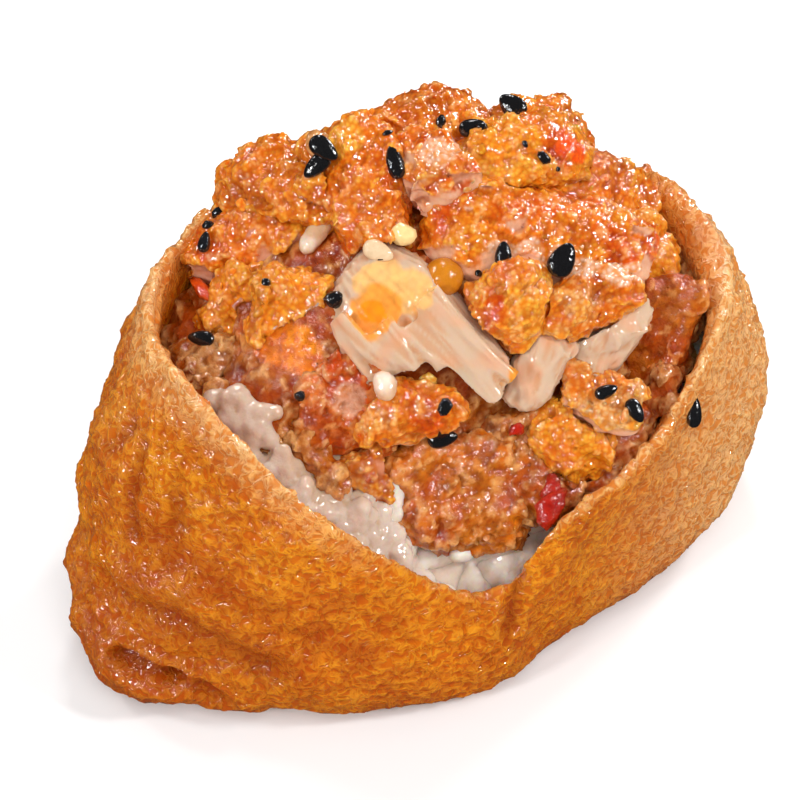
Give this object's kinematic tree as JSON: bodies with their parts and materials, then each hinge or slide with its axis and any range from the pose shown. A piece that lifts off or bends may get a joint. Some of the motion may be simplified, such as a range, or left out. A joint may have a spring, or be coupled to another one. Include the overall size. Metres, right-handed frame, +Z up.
{
  "type": "inari sushi",
  "caption": "Open fried-tofu pouch filled with rice and heaped with torn seared chicken and sesame; a stuffed sushi that rests on its flat underside.",
  "frame": {"origin": "on the floor under the middle of the pouch's box", "axes": "+X along the pouch's long side, +Y from the low, notched front of the rim to its high back, +Z up"},
  "size_m": [0.0747, 0.0447, 0.0467],
  "materials": {
    "tofu_skin": "satin",
    "cooked_rice": "satin",
    "small_meat": "satin",
    "seared_chicken": "gloss",
    "glazed_chicken": "gloss",
    "chicken_breast": "satin"
  },
  "bodies": {
    "root": {"back_left_crust": "seared_chicken", "back_top_crust": "seared_chicken", "back_top_right": "seared_chicken", "breast_end": "chicken_breast", "crumb_cluster": "seared_chicken", "dark_slab": "glazed_chicken", "fibrous_piece": "chicken_breast", "fillet_slab": "seared_chicken", "flaky_bit": "seared_chicken", "front_chunk": "glazed_chicken", "front_ledge": "seared_chicken", "left_flake": "seared_chicken", "left_meat": "glazed_chicken", "left_ridge": "seared_chicken", "low_meat": "glazed_chicken", "low_middle": "glazed_chicken", "low_right": "glazed_chicken", "mid_crust": "seared_chicken", "orange_lump": "seared_chicken", "pale_lump": "seared_chicken", "rear_left": "seared_chicken", "rear_middle": "seared_chicken", "rear_right": "glazed_chicken", "rice": "cooked_rice", "right_crust": "seared_chicken", "right_low_crust": "seared_chicken", "skin_flake": "seared_chicken", "small_flake": "seared_chicken", "small_meat": "small_meat", "tofu_pouch": "tofu_skin", "top_chunk": "seared_chicken", "top_right_chunk": "seared_chicken", "white_breast": "chicken_breast"}
  },
  "joints": []
}
